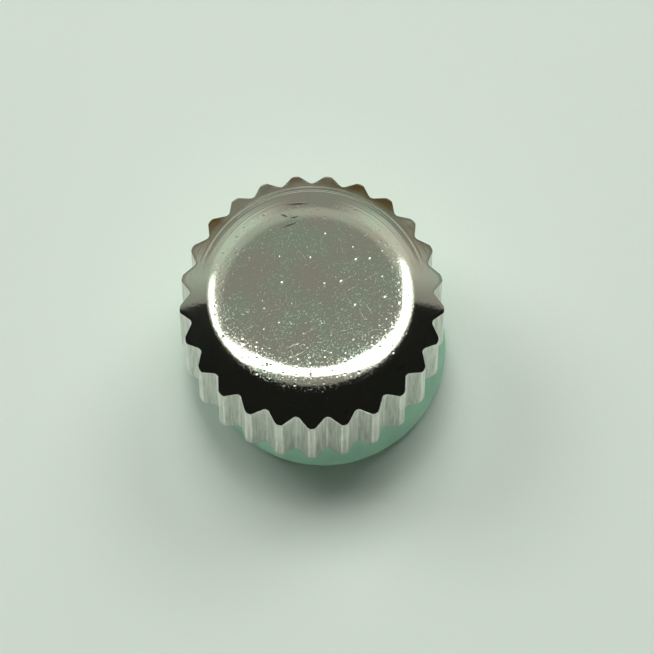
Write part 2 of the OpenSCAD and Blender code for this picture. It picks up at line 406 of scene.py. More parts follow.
def lost_polish(tree, mm, areas):
    """Where the polish is scratched or specked, from 0 to 1."""
    scratch = 0.0
    for angle, length in HAIRLINES:
        drawn = add(tree, "ShaderNodeMapping", {
            "Vector": mm, "Rotation": (0, 0, angle), "Scale": (1 / length, 1.0, 1.0)},
            vector_type="TEXTURE")
        crests = add(tree, "ShaderNodeTexNoise", {"Vector": drawn, "Scale": 1.6, "Detail": 3.0})
        line = add(tree, "ShaderNodeMapRange", {"Value": crests, "From Min": 0.66, "From Max": 0.74})
        scratch = add(tree, "ShaderNodeMath", (line, scratch), operation="MAXIMUM")
    # Specks are about 0.04 mm across, and some areas have more of them
    specks = add(tree, "ShaderNodeTexNoise", {"Vector": mm, "Scale": 22.0, "Detail": 3.0})
    speck = add(tree, "ShaderNodeMapRange", {"Value": specks, "From Min": 0.5, "From Max": 0.68})
    amount = add(tree, "ShaderNodeMapRange", {"Value": areas, "From Min": 0.35, "From Max": 0.65,
                                              "To Min": 0.5})
    speck = add(tree, "ShaderNodeMath", (speck, amount), operation="MULTIPLY")
    return add(tree, "ShaderNodeMath", (scratch, speck), operation="MAXIMUM")


# %% [markdown]
# The clean steel leans a little to pink in some areas and to green in others. A brown colour lies
# near the teeth, at the back. The rolled walls have faint streaks, and the lines where a flank turns
# into a tip or a gap get a near-white painted highlight here and there, and the scores get painted
# shade. Each of these is a layer of colour that covers the one below it by its own amount.

# %% Brown colour near the teeth, at the back
def brown_on_back_teeth(tree, mm, radius, behind):
    """Where the brown colour lies, from 0 to 1: near the teeth, at the back."""
    edge = add(tree, "ShaderNodeMapRange", {"Value": radius, "From Min": 2.5, "From Max": 2.8})
    cloud = add(tree, "ShaderNodeTexNoise", {"Vector": mm, "Scale": 0.9, "Detail": 4.0})
    patch = add(tree, "ShaderNodeMapRange", {"Value": cloud, "From Min": 0.34, "From Max": 0.54,
                                             "To Min": 0.25, "To Max": 0.95})
    brown_back = add(tree, "ShaderNodeMath", (edge, behind), operation="MULTIPLY")
    return add(tree, "ShaderNodeMath", (brown_back, patch), operation="MULTIPLY")


# %% [markdown]
# The polished face and the rolled flutes are one material, and two attributes of the mesh, wall and
# corner, say where each finish lies. The walls are so finely torn that they scatter light like a
# paint, so they are less metallic than the face, and the corners are rougher still, which lets them
# catch light from nearly overhead. The corners also carry a near-white painted highlight.

# %% Polished steel with rolled flutes
def on_plan(tree, mm):
    """The place of a point on a plan of the piece, and its distance from the axis."""
    flat = add(tree, "ShaderNodeVectorMath", (mm, (1, 1, 0)), operation="MULTIPLY")
    return flat, add(tree, "ShaderNodeVectorMath", [flat], operation="LENGTH").outputs["Value"]


def polished_steel():
    """Mirror steel with dents, hairlines and dull specks, and dull flutes with upright marks."""
    material, tree, shader, mm = new_material("stainless_steel_polished")
    wall = add(tree, "ShaderNodeAttribute", attribute_name="wall").outputs["Fac"]
    corner = add(tree, "ShaderNodeAttribute", attribute_name="corner").outputs["Fac"]
    flat, radius = on_plan(tree, mm)
    depth_y = add(tree, "ShaderNodeSeparateXYZ", [mm]).outputs["Y"]
    behind = add(tree, "ShaderNodeMapRange", {"Value": depth_y, "From Min": 0.8, "From Max": 1.9})
    areas = add(tree, "ShaderNodeTexNoise", {"Vector": mm, "Scale": 1.2, "Detail": 2.0})
    # Fingers and cloths reach the face and its round edge, and hardly the bevel
    handled = add(tree, "ShaderNodeMapRange", {"Value": radius, "From Min": 2.2, "From Max": 2.34,
                                               "To Min": 1.0, "To Max": 0.05})
    handled = add(tree, "ShaderNodeMapRange", {"Value": wall, "To Min": handled, "To Max": 0.0})

    bump = worn_mirror(tree, mm, handled)
    bump, painted_score_shade = scored(tree, flat, wall, bump)
    bump = lathe_lines(tree, radius, behind, bump)
    bump, rolled = rolled_marks(tree, mm, wall, bump)

    tone = add(tree, "ShaderNodeMapRange", {"Value": areas, "From Min": 0.35, "From Max": 0.65})
    streak = add(tree, "ShaderNodeMapRange", {"Value": rolled, "From Min": 0.35, "From Max": 0.6})
    streaked = add(tree, "ShaderNodeMix", {"Factor": streak, "A": colour("c2c5bd"),
                                           "B": colour("e1e3de")}, data_type="RGBA")
    # A near-white highlight is painted along the corners, stronger in some places than in others
    painted_glint = add(tree, "ShaderNodeTexNoise", {"Vector": mm, "Scale": 2.6, "Detail": 2.0})
    painted_glint_share = add(tree, "ShaderNodeMapRange", {"Value": painted_glint, "From Min": 0.35, "From Max": 0.6,
                                              "To Min": 0.55})
    corner = add(tree, "ShaderNodeMath", (corner, painted_glint_share), operation="MULTIPLY")
    brown_back = brown_on_back_teeth(tree, mm, radius, behind)
    shade = colour("d1cac5")
    # Layers in turn: random tone, brown at the back, painted shade in the scores, streaked walls, and
    # a near-white painted highlight on the corners
    for amount, layer in ((tone, colour("c8d1c8")), (brown_back, colour("806538")),
                          (painted_score_shade, colour("5e5b4c")), (wall, streaked.outputs["Result"]),
                          (corner, colour("fcfdf8"))):
        shade = add(tree, "ShaderNodeMix", {"Factor": amount, "A": shade, "B": layer},
                    data_type="RGBA").outputs["Result"]

    dull = add(tree, "ShaderNodeMath", (lost_polish(tree, mm, areas), handled), operation="MULTIPLY")
    gloss = add(tree, "ShaderNodeMapRange", {"Value": wall, "To Min": 0.08, "To Max": 0.34})
    rough = add(tree, "ShaderNodeMath", (dull, 0.31, gloss), operation="MULTIPLY_ADD")
    rough = add(tree, "ShaderNodeMath", (corner, 0.6, rough), operation="MULTIPLY_ADD")
    metal = add(tree, "ShaderNodeMath", (wall, -0.34, 1.0), operation="MULTIPLY_ADD")
    fill(shader, {"Base Color": shade, "Metallic": metal, "Roughness": rough, "Normal": bump})
    return material


# %% [markdown]
# ## Turned metals
#
# The pieces inside are left as the lathe cut them: fine rings round the axis, which catch the light
# as faint circles on a face and as lines on a wall. The sleeve and bush are nickel silver, which is
# a little yellow, and the pipe, post and washers are steel.

# %% Turned metal
def turned_metal(name, base, roughness):
    """Metal with the rings of the lathe tool, about 0.04 mm apart, and a cloudy tarnish."""
    material, tree, shader, mm = new_material(name)
    radius = on_plan(tree, mm)[1]
    height = add(tree, "ShaderNodeSeparateXYZ", [mm]).outputs["Z"]
    ring = add(tree, "ShaderNodeCombineXYZ", {"X": radius, "Z": height})
    tool = add(tree, "ShaderNodeTexNoise", {"Vector": ring, "Scale": 24.0, "Detail": 3.0})
    cut = add(tree, "ShaderNodeBump", {"Height": tool, "Distance": 0.006 * MM})
    stain = add(tree, "ShaderNodeTexNoise", {"Vector": mm, "Scale": 1.6, "Detail": 4.0})
    amount = add(tree, "ShaderNodeMapRange", {"Value": stain, "From Min": 0.4, "From Max": 0.75,
                                              "To Max": 0.35})
    tarnish = tuple(c * 0.55 for c in colour(base)[:3]) + (1.0,)
    shade = add(tree, "ShaderNodeMix", {"Factor": amount, "A": colour(base), "B": tarnish},
                data_type="RGBA")
    rough = add(tree, "ShaderNodeMath", (amount, 0.3, roughness), operation="MULTIPLY_ADD")
    fill(shader, {"Base Color": shade.outputs["Result"], "Metallic": 1.0, "Roughness": rough,
                  "Normal": cut})
    return material


# %% [markdown]
# ## Soft seals
#
# The ring under the rim is a soft moulded elastomer, teal and slightly see-through at its edges. It
# is matt and faintly mottled. The gasket and the O-rings are black nitrile rubber with a thin film
# of grease, which makes them a little glossier.

# %% Elastomers
def elastomer(name, base, shade, roughness, glow):
    """Moulded rubber: cloudy colour, a grain about 0.06 mm wide and some light that seeps through."""
    material, tree, shader, mm = new_material(name)
    cloud = add(tree, "ShaderNodeTexNoise", {"Vector": mm, "Scale": 1.4, "Detail": 5.0})
    blend = add(tree, "ShaderNodeMapRange", {"Value": cloud, "From Min": 0.35, "From Max": 0.7})
    tone = add(tree, "ShaderNodeMix", {"Factor": blend, "A": colour(base), "B": colour(shade)},
               data_type="RGBA")
    grain = add(tree, "ShaderNodeTexNoise", {"Vector": mm, "Scale": 18.0, "Detail": 4.0})
    rough = add(tree, "ShaderNodeMath", (grain, 0.2, roughness - 0.1), operation="MULTIPLY_ADD")
    bump = add(tree, "ShaderNodeBump", {"Height": grain, "Distance": 0.012 * MM})
    fill(shader, {"Base Color": tone.outputs["Result"], "Roughness": rough, "Normal": bump,
                  "Subsurface Weight": glow, "Subsurface Radius": (0.6, 1.0, 0.8),
                  "Subsurface Scale": 0.35 * MM})
    return material


# %% The materials of the crown
POLISHED = polished_steel()
TURNED_STEEL = turned_metal("stainless_steel_turned", "a9aba8", 0.3)
NICKEL_SILVER = turned_metal("nickel_silver_turned", "c2b48d", 0.28)
SPRING_WIRE = turned_metal("spring_steel_drawn", "9c9e9c", 0.34)
TEAL = elastomer("elastomer_teal_moulded", "92bca8", "80a999", 0.55, 0.7)
NITRILE = elastomer("nitrile_black_greased", "1c1d1c", "262826", 0.42, 0.0)
for made in (POLISHED, TURNED_STEEL, NICKEL_SILVER, SPRING_WIRE, TEAL, NITRILE):
    print(f"{made.name}: {len(made.node_tree.nodes)} nodes")

# %% [markdown]
# ## The head
#
# The real head is turned to a low dome with a bevel, then a grip is rolled into its edge: 25 blunt
# teeth between rounded gaps. One tooth is made here as a slice a 25th of a turn wide. Its outline is
# a nearly flat land, a small corner radius, a straight flank and a round gap, each touching the
# next. It is a little blunter than in the working model, as the enlarged photo shows it. Each row
# of the slice is one step along the profile, from the middle of the face to the rim and the roof.

# %% Sizes of the head, in millimetres
TEETH = 25
TIP_R = reach("fluted_shell")
RIM_Z, TOP_Z = levels("fluted_shell")
ROOF_Z = levels("centre_pipe")[1]
BORE_R = reach("threaded_sleeve")
TOOTH_DEPTH = 0.225
GAP_R = TIP_R - TOOTH_DEPTH
TIP_ROUND = 0.165
GAP_ROUND = 0.115
LAND_ROUND = 0.25
CORNER_ROUND = 0.1
RIM_CHAMFER = 0.06
BEVEL_SLOPE = math.radians(32)
BEVEL_R = 2.4
FACE_SLOPE = math.radians(5)
FACE_R = 1.6
SMALL_EDGE = 0.05
EDGE_BREAK = 0.01

CROWN_R = FACE_R / math.sin(FACE_SLOPE)
FACE_Z = TOP_Z - CROWN_R * (1 - math.cos(FACE_SLOPE))
ROLL_R = (BEVEL_R - FACE_R) / (math.sin(BEVEL_SLOPE) - math.sin(FACE_SLOPE))
BEVEL_Z = FACE_Z - ROLL_R * (math.cos(FACE_SLOPE) - math.cos(BEVEL_SLOPE))
print(f"head: {2 * TIP_R:.2f} mm over {TEETH} teeth, bevel from {BEVEL_Z:.2f} mm up")


# %% Outline of one tooth
# How strongly a highlight is painted on each part of a tooth, from 0 to 1
LAND_GLINT = 0.15
CORNER_GLINT = 1.0
FLANK_END_GLINT = 0.1
GAP_GLINT = 0.8


def tooth_outline(land_steps=4, corner_steps=5, flank_steps=4, gap_steps=5):
    """Points, outward normals and marks of painted highlight lines of one tooth, from gap to gap."""
    tip_c, gap_c, half = TIP_R - TIP_ROUND, GAP_R + GAP_ROUND, math.pi / TEETH
    gap = Vector((gap_c * math.cos(half), gap_c * math.sin(half)))
    tip = Vector((tip_c, 0))
    span = gap - tip
    flank = math.atan2(span.y, span.x) - math.acos((TIP_ROUND + GAP_ROUND) / span.length)
    # The land at the tip is nearly flat, and a small radius joins it to the flank
    out = Vector((math.cos(flank), math.sin(flank)))
    land = Vector((TIP_R - LAND_ROUND, 0))
    reach_out = (tip - land).dot(out) + TIP_ROUND - CORNER_ROUND
    back = math.sqrt((LAND_ROUND - CORNER_ROUND) ** 2 - reach_out ** 2)
    corner = land + out * reach_out + Vector((out.y, -out.x)) * back
    turn = math.atan2(corner.y, corner.x - land.x)
    half_tooth = []
    for k in range(land_steps):
        n = Vector((math.cos(turn * k / land_steps), math.sin(turn * k / land_steps)))
        half_tooth.append((land + n * LAND_ROUND, n, LAND_GLINT))
    for k in range(corner_steps + 1):
        a = turn + (flank - turn) * k / corner_steps
        n = Vector((math.cos(a), math.sin(a)))
        # The points next to the land get the full painted highlight
        painted_glint = CORNER_GLINT if k in (1, 2) else FLANK_END_GLINT
        half_tooth.append((corner + n * CORNER_ROUND, n, painted_glint))
    start, end = half_tooth[-1][0], gap - n * GAP_ROUND
    half_tooth += [(start.lerp(end, k / flank_steps), n, 0.0) for k in range(1, flank_steps)]
    for k in range(gap_steps + 1):
        a = flank + (half - flank) * k / gap_steps
        n = Vector((math.cos(a), math.sin(a)))
        half_tooth.append((gap - n * GAP_ROUND, n, GAP_GLINT * (k == gap_steps)))
    mirrored = [(Vector((p.x, -p.y)), Vector((n.x, -n.y)), c) for p, n, c in half_tooth[:0:-1]]
    return mirrored + half_tooth


def bevel_height(point):
    """Height of the bevel's cone over a point."""
    return BEVEL_Z - (point.length - BEVEL_R) * math.tan(BEVEL_SLOPE)


def rim_height(point):
    """Height of the chamfered rim under a point."""
    return RIM_Z + max(0.0, point.length - (TIP_R - RIM_CHAMFER))


# %% Rows of the head's slice
FACE_ROWS = 12
ROLL_ROWS = 24
BEVEL_ROWS = 6
EDGE_ROWS = 5
WALL_ROWS = 8
# A broken edge is this many times as deep as it is wide
EDGE_DEEP = 1.3


def head_rows():
    """Rows from the middle of the roof round to the middle of the face, and their marks."""
    outline = tooth_outline()
    rays = [p.normalized() for p, n, c in outline]
    rows, wall, corner = [], [], []

    def add_row(points, mark, lines=0.0):
        # The outline is drawn about +X, and the front tooth of the crown points along -Y
        rows.append([(p.y, -p.x, z) for p, z in points])
        wall.append([mark] * len(points))
        corner.append([c * lines for p, n, c in outline])

    def add_ring(radius, z, mark=0.0):
        add_row([(ray * radius, z) for ray in rays], mark)

    for k in range(FACE_ROWS + 1):
        slope = FACE_SLOPE * k / FACE_ROWS
        add_ring(CROWN_R * math.sin(slope), TOP_Z - CROWN_R * (1 - math.cos(slope)))
    for k in range(1, ROLL_ROWS + 1):
        slope = FACE_SLOPE + (BEVEL_SLOPE - FACE_SLOPE) * k / ROLL_ROWS
        add_ring(FACE_R + ROLL_R * (math.sin(slope) - math.sin(FACE_SLOPE)),
                 FACE_Z - ROLL_R * (math.cos(FACE_SLOPE) - math.cos(slope)))
    edge = [p - n * EDGE_BREAK for p, n, c in outline]
    for k in range(1, BEVEL_ROWS + 1):
        ring = [(ray * BEVEL_R).lerp(q, k / BEVEL_ROWS) for ray, q in zip(rays, edge)]
        add_row([(q, bevel_height(q)) for q in ring], 0.0)
    steps = [math.radians(90 * k / EDGE_ROWS) for k in range(1, EDGE_ROWS + 1)]
    fall = EDGE_BREAK * EDGE_DEEP
    for a in steps:
        ring = [p - n * EDGE_BREAK * (1 - math.sin(a)) for p, n, c in outline]
        add_row([(q, bevel_height(q) - fall * (1 - math.cos(a))) for q in ring], math.sin(a))
    for k in range(1, WALL_ROWS):
        row = []
        for p, n, c in outline:
            high, low = bevel_height(p) - fall, rim_height(p) + fall
            row.append((p, high + (low - high) * k / WALL_ROWS))
        add_row(row, 1.0, 1.0)
    for a in reversed([0.0] + steps):
        ring = [p - n * EDGE_BREAK * (1 - math.sin(a)) for p, n, c in outline]
        add_row([(q, rim_height(q) + fall * (1 - math.cos(a))) for q in ring], 1.0)
    ring = [q * min(1.0, (TIP_R - RIM_CHAMFER) / q.length) for q in edge]
    add_row([(q, RIM_Z) for q in ring], 1.0)
    for radius, z in ((BORE_R + SMALL_EDGE, RIM_Z), (BORE_R, RIM_Z + SMALL_EDGE), (BORE_R, ROOF_Z),
                      (0.0, ROOF_Z)):
        add_ring(radius, z, 1.0)
    return rows[::-1], {"wall": wall[::-1], "corner": corner[::-1]}


rows, marks = head_rows()
head = repeat_round(new_piece("head", rows, closed=False, marks=marks), POLISHED, TEETH)
place(head, "head", "polished_steel", "fluted_shell")

# %% [markdown]
# ## The seal under the rim
#
# A soft ring stands under the rim and is squeezed flat when the crown is screwed down. A collar
# plugs it into the bore, its wall bellies out near the foot, and a groove round the foot leaves two
# lips. It is a turned profile too, with every edge well rounded as a mould leaves it, and a thin
# line of flash where the two halves of the mould met.

# %% Skirt seal
SEAL_TOP = levels("skirt_seal")[1]
BELLY_R = reach("skirt_seal")
BELLY_ROUND = 0.25
SEAL_LEAN = math.radians(8)
SEAL_EDGE = 0.03
TUBE_R = 2.14
FACE_GROOVE = 0.1
# How far the flash stands out, and its height
FLASH = 0.006
FLASH_HIGH = 0.01
# How much the wall is hollowed, as a part of its lean
WALL_HOLLOW = 0.15


def seal_profile():
    """The ring's section, anticlockwise from the mouth of its bore."""
    foot_r = BELLY_R - BELLY_ROUND
    groove_r = (TUBE_R + foot_r) / 2
    belly_z = BELLY_ROUND * (1 + math.sin(SEAL_LEAN))
    wall_r = foot_r + BELLY_ROUND * math.cos(SEAL_LEAN)
    top_r = wall_r - (RIM_Z - belly_z) * math.tan(SEAL_LEAN)
    inner = rounded([(top_r, RIM_Z), (BORE_R, RIM_Z), (BORE_R, SEAL_TOP), (TUBE_R, SEAL_TOP),
                     (TUBE_R, 0), (groove_r - FACE_GROOVE, 0), (groove_r, FACE_GROOVE),
                     (groove_r + FACE_GROOVE, 0), (foot_r, 0)], SEAL_EDGE)
    # The belly takes the place of the last corner's fillet
    inner = inner[:-FILLET_STEPS - 1]
    belly = arc((foot_r, BELLY_ROUND), BELLY_ROUND, -90, 0, 12)
    flash = [(BELLY_R + FLASH, BELLY_ROUND + FLASH_HIGH * k) for k in (1, 2)]
    wall_z = BELLY_ROUND + FLASH_HIGH * 3
    wall_high = RIM_Z - BELLY_ROUND - FLASH_HIGH * 6
    wall = [(BELLY_R - (BELLY_R - top_r) * t * (1 + WALL_HOLLOW - WALL_HOLLOW * t),
             wall_z + wall_high * t) for t in (0, 0.2, 0.4, 0.6, 0.8)]
    return inner + belly + flash + wall


seal = turned("seal", seal_profile(), TEAL)

# %% [markdown]
# On the table the soft foot has been pushed a little to one side and squeezed. The push starts at the
# rim and at the bore, and grows down and outwards.

# %% The pushed foot
SEAL_PUSH = 0.25
SEAL_SQUEEZE = 0.07
PUSH_HIGH = 0.9
PUSH_WIDE = 0.74
for vertex in seal.data.vertices:
    x, y, z = vertex.co / MM
    radius = math.hypot(x, y)
    share = max(0.0, min(1.0, (RIM_Z - z) / PUSH_HIGH)) * max(0.0, (radius - TUBE_R) / PUSH_WIDE)
    vertex.co.x += (SEAL_PUSH - SEAL_SQUEEZE * x / radius) * MM * share
place(seal, "head", "teal_elastomer", "skirt_seal")

# %% [markdown]
# ## Threads
#
# A thread is a ridge with a trapezium section that climbs round the axis, and it runs out to nothing
# at both ends. Rings would be simpler, but a helix shows its start at the mouth, as a real thread
# does. A second tree draws a spiral, sweeps the section along it and tapers its ends.

# %% The tree that makes a thread's ridge
def thread_ridge_tree():
    """A tree that sweeps a trapezium along a spiral. The base of the ridge lies on the spiral."""
    sizes = ("Turns", "Radius", "Length", "Depth", "Root Width", "Crest Width", "Level")
    tree, given = begin_tree("thread_ridge", {
        "Start": "Geometry", **dict.fromkeys(sizes, "Float"), "Material": "Material"}, "Ridge")
    spiral = add(tree, "GeometryNodeCurveSpiral", {
        "Resolution": 72, "Rotations": given["Turns"], "Start Radius": given["Radius"],
        "End Radius": given["Radius"], "Height": given["Length"]})
    upright = add(tree, "GeometryNodeSetCurveNormal", {"Curve": spiral}, mode="Z_UP")
    # The ridge grows to its full section over 0.3 of a turn at each end
    done = add(tree, "GeometryNodeSplineParameter").outputs["Factor"]
    left = add(tree, "ShaderNodeMath", (1.0, done), operation="SUBTRACT")
    near = add(tree, "ShaderNodeMath", (done, left), operation="MINIMUM")
    turned_by = add(tree, "ShaderNodeMath", (near, given["Turns"]), operation="MULTIPLY")
    taper = add(tree, "ShaderNodeMapRange", {"Value": turned_by, "From Max": 0.3, "To Min": 0.02})
    shaped = add(tree, "GeometryNodeSetCurveRadius", {"Curve": upright, "Radius": taper})
    section = add(tree, "GeometryNodeCurvePrimitiveQuadrilateral", {
        "Height": given["Depth"], "Bottom Width": given["Root Width"],
        "Top Width": given["Crest Width"], "Offset": 0.0}, mode="TRAPEZOID")
    half = add(tree, "ShaderNodeMath", (given["Depth"], 0.5), operation="MULTIPLY")
    shift = add(tree, "ShaderNodeCombineXYZ", {"X": half})
    based = add(tree, "GeometryNodeTransform", {"Geometry": section, "Translation": shift,
                                                "Rotation": (0, 0, -math.pi / 2)})
    ridge = add(tree, "GeometryNodeCurveToMesh", {"Curve": shaped, "Profile Curve": based,
                                                  "Fill Caps": True})
    rise = add(tree, "ShaderNodeCombineXYZ", {"Z": given["Level"]})
    seated = add(tree, "GeometryNodeTransform", {"Geometry": ridge, "Translation": rise})
    real = add(tree, "GeometryNodeRealizeInstances", [seated])
    finish = add(tree, "GeometryNodeSetMaterial", {"Geometry": real, "Material": given["Material"]})
    add(tree, "NodeGroupOutput", {"Ridge": finish})
    return tree


THREAD_RIDGE = thread_ridge_tree()
# How deep the ridge is sunk into the metal, so that no gap shows under it
RIDGE_SINK = 0.008
# Widths of the ridge at its root and its crest, as parts of the pitch
ROOT_PART = 0.84
CREST_PART = 0.25


def add_thread(piece, material, root_r, depth, pitch, low, high):
    """Joins the ridge of an inside thread to a piece. Sizes are in millimetres."""
    ridge = bpy.data.objects.new("thread", bpy.data.meshes.new("thread"))
    bpy.context.scene.collection.objects.link(ridge)
    turns = (high - low) / pitch
    run_tree(ridge, THREAD_RIDGE, {
        "Turns": turns, "Radius": (root_r + RIDGE_SINK) * MM, "Length": (high - low) * MM,
        "Depth": (depth + RIDGE_SINK) * MM, "Root Width": pitch * ROOT_PART * MM,
        "Crest Width": pitch * CREST_PART * MM, "Level": low * MM, "Material": material})
    inner = min(math.hypot(v.co.x, v.co.y) for v in ridge.data.vertices) / MM
    print(f"thread: {turns:.1f} turns of {pitch} mm, crest radius {inner:.3f} mm")
    measure(ridge)
    shape = bmesh.new()
    shape.from_mesh(piece.data)
    shape.from_mesh(ridge.data)
    shape.to_mesh(piece.data)
    shape.free()
    bpy.data.objects.remove(ridge)


# %% [markdown]
# ## The threaded sleeve
#
# The sleeve screws onto the case tube. It is pressed into the bore of the head between the seal's
# collar and the gasket washer, so only its thread shows, deep inside.

# %% Threaded sleeve
SLEEVE_LOW, SLEEVE_HIGH = levels("threaded_sleeve")
THREAD_PITCH = 0.35
# A metric inside thread is five eighths as deep as its sharp triangle
THREAD_DEPTH = THREAD_PITCH * math.sqrt(3) / 2 * 5 / 8
ROOT_R = 2.1
CREST_R = ROOT_R - THREAD_DEPTH
LIP_HIGH = 0.1
SLEEVE_EDGE = 0.02
sleeve = turned("sleeve", rounded([
    (BORE_R, SLEEVE_LOW), (BORE_R, SLEEVE_HIGH), (CREST_R, SLEEVE_HIGH),
    (CREST_R, SLEEVE_HIGH - LIP_HIGH), (ROOT_R, SLEEVE_HIGH - LIP_HIGH - THREAD_DEPTH),
    (ROOT_R, SLEEVE_LOW)], SLEEVE_EDGE), NICKEL_SILVER)
add_thread(sleeve, NICKEL_SILVER, ROOT_R, THREAD_DEPTH, THREAD_PITCH,
           SLEEVE_LOW + THREAD_PITCH / 2, SLEEVE_HIGH - LIP_HIGH)
place(sleeve, "head", "nickel_silver", "threaded_sleeve")


# %% [markdown]
# ## Rings under the roof
#
# Three flat rings lie under the roof of the bore: the soft gasket that the case tube presses on, the
# washer that holds it in, and the thrust washer that takes the end of the spring. All three are
# punched from sheet, and their edges are slightly rounded.

# %% Flat rings
def flat_ring(name, node, inner_r, edge, material, slot):
    """A flat ring with broken edges in place of a node of the working model."""
    low, high = levels(node)
    outer_r = reach(node)
    ring = turned(name, rounded([(outer_r, low), (outer_r, high), (inner_r, high), (inner_r, low)],
                                edge), material)
    place(ring, "head", slot, node)


# Radius of the centre pipe, and width of the post's square head
PIPE_R = 1.5
HEAD_W = 1.46
flat_ring("steel_washer", "gasket_washer", TUBE_R, 0.03, TURNED_STEEL, "turned_steel")
flat_ring("gasket", "face_gasket", PIPE_R, 0.04, NITRILE, "black_elastomer")
flat_ring("thrust_ring", "thrust_washer", HEAD_W / 4, 0.02, TURNED_STEEL, "turned_steel")

# %% [markdown]
# ## The centre pipe
#
# The pipe hangs from a flange under the roof. Outside it is turned, with two grooves for the O-rings.
# Inside it has a square bore that turns the post, and a round seat for the bush. The square comes
# from a radius that depends on the angle, so a quarter of the pipe is one slice.

# %% Radius of a square
def square(width, corner_r=None):
    """Radius of a square's side at each angle of a quarter turn, cut off at a corner radius."""
    return lambda a: min(width / 2 / math.cos(a), corner_r or width)


# %% Centre pipe
PIPE_LOW, PIPE_HIGH = levels("centre_pipe")
FLANGE_R = reach("centre_pipe")
FLANGE_LOW = levels("face_gasket")[1]
BUSH_HIGH = levels("retaining_bush")[1]
BUSH_R = reach("retaining_bush")
SEAT_R = 1.28
GROOVE_W = 0.36
SQUARE_W = 1.5
# Broken edges at the mouth and fillets at the bottom of a groove, and at the mouth of the bore
GROOVE_EDGE = 0.015
GROOVE_FILLET = 0.02
MOUTH_EDGE = 0.03

outside = [(PIPE_R - SMALL_EDGE, PIPE_LOW), (PIPE_R, PIPE_LOW + SMALL_EDGE)]
for node in ("lower_o_ring", "upper_o_ring"):
    middle = sum(levels(node)) / 2
    low, high = middle - GROOVE_W / 2, middle + GROOVE_W / 2
    outside += [(PIPE_R, low - GROOVE_EDGE), (PIPE_R - GROOVE_EDGE, low),
                (SEAT_R + GROOVE_FILLET, low), (SEAT_R, low + GROOVE_FILLET),
                (SEAT_R, high - GROOVE_FILLET), (SEAT_R + GROOVE_FILLET, high),
                (PIPE_R - GROOVE_EDGE, high), (PIPE_R, high + GROOVE_EDGE)]
outside += [(PIPE_R, FLANGE_LOW), (FLANGE_R - GROOVE_FILLET, FLANGE_LOW),
            (FLANGE_R, FLANGE_LOW + GROOVE_FILLET), (FLANGE_R, PIPE_HIGH)]
bore = square(SQUARE_W)
inside = [(bore, PIPE_HIGH), (bore, BUSH_HIGH), (BUSH_R, BUSH_HIGH),
          (BUSH_R, PIPE_LOW + MOUTH_EDGE), (BUSH_R + MOUTH_EDGE, PIPE_LOW)]
pipe = turned("pipe", outside + inside, TURNED_STEEL, copies=4, columns=SQUARE_COLUMNS)
place(pipe, "head", "turned_steel", "centre_pipe")

# %% [markdown]
# ## O-rings
#
# Two O-rings sit in the grooves of the pipe. They are a little smaller than the pipe, so each one is
# stretched over it and lies flat against the bottom of its groove.

# %% O-rings
RING_D = 0.3


def o_ring(name, node):
    """An O-ring with a flat inner side, in place of a node of the working model."""
    low, high = levels(node)
    middle, centre_r = (low + high) / 2, reach(node) - RING_D / 2
    # Thirty points, 12 degrees apart, and the profile closes itself
    section = arc((centre_r, middle), RING_D / 2, -180, 168, 29)
    section = [(max(r, SEAT_R), z) for r, z in section]
    place(turned(name, section, NITRILE), "head", "black_elastomer", node)


o_ring("o_ring_lower", "lower_o_ring")
o_ring("o_ring_upper", "upper_o_ring")

# %% [markdown]
# ## The retaining bush
#
# A short bush is pressed into the mouth of the pipe. It guides the round shank of the post and stops
# its square head, so the spring can't push the post out.

# %% Retaining bush
BUSH_LOW = levels("retaining_bush")[0]
SLIDE_R = 0.65
BUSH_EDGE = 0.012
bush = turned("bush", rounded([
    (BUSH_R, BUSH_LOW), (BUSH_R, BUSH_HIGH), (SLIDE_R, BUSH_HIGH), (SLIDE_R, BUSH_LOW + SMALL_EDGE),
    (SLIDE_R + SMALL_EDGE, BUSH_LOW)], BUSH_EDGE), NICKEL_SILVER)
place(bush, "head", "nickel_silver", "retaining_bush")

# %% [markdown]
# ## The stem post
#
# The post slides in the pipe and turns with it. Its head is a square with its corners turned off, so
# that it passes through the round seat when it is put in. The shank is round, and the winding stem
# screws into its tapped hole.

# %% Stem post
POST_LOW, POST_HIGH = levels("stem_post")
POST_HEAD_H = 0.55
HEAD_EDGE = 0.015
SHANK_R = 0.63
# The tapped hole: root radius, depth, radius and cone of the drill, and how far short the tap stopped
TAP_R = 0.45
TAP_DEPTH = 1.15
DRILL_R = 0.33
CONE_HIGH = 0.2
TAP_SHORT = 0.01
# Its thread: pitch, depth, and how far its ends lie from the mouth and from the end of the hole
TAP_PITCH = 0.225
TAP_THREAD = 0.11
TAP_START = 0.12
TAP_END = 0.1
shoulder = POST_HIGH - POST_HEAD_H
corner_r = HEAD_W * math.sqrt(2) / 2 - SMALL_EDGE
hole_end = POST_LOW + TAP_DEPTH
wide, narrow = square(HEAD_W, corner_r), square(HEAD_W - 2 * HEAD_EDGE, corner_r - HEAD_EDGE)
post = turned("post", [
    (0.0, hole_end + CONE_HIGH), (DRILL_R, hole_end), (TAP_R, hole_end - TAP_SHORT),
    (TAP_R, POST_LOW + SMALL_EDGE), (TAP_R + SMALL_EDGE, POST_LOW),
    (SHANK_R - SMALL_EDGE, POST_LOW), (SHANK_R, POST_LOW + SMALL_EDGE), (SHANK_R, shoulder),
    (narrow, shoulder), (wide, shoulder + HEAD_EDGE), (wide, POST_HIGH - HEAD_EDGE),
    (narrow, POST_HIGH), (0.0, POST_HIGH)],
    TURNED_STEEL, closed=False, copies=4, columns=SQUARE_COLUMNS)
add_thread(post, TURNED_STEEL, TAP_R, TAP_THREAD, TAP_PITCH, POST_LOW + TAP_START,
           hole_end - TAP_END)
place(post, "post", "turned_steel", "stem_post")

# %% [markdown]
# ## The spring
#
# A compression spring is wound from drawn wire and its end turns are closed, so that it stands
# square. It could be a spiral of one pitch, but then only the wire's tips would touch the washer and
# the post. The third tree winds it properly: closed for one turn, open in the middle, closed again.

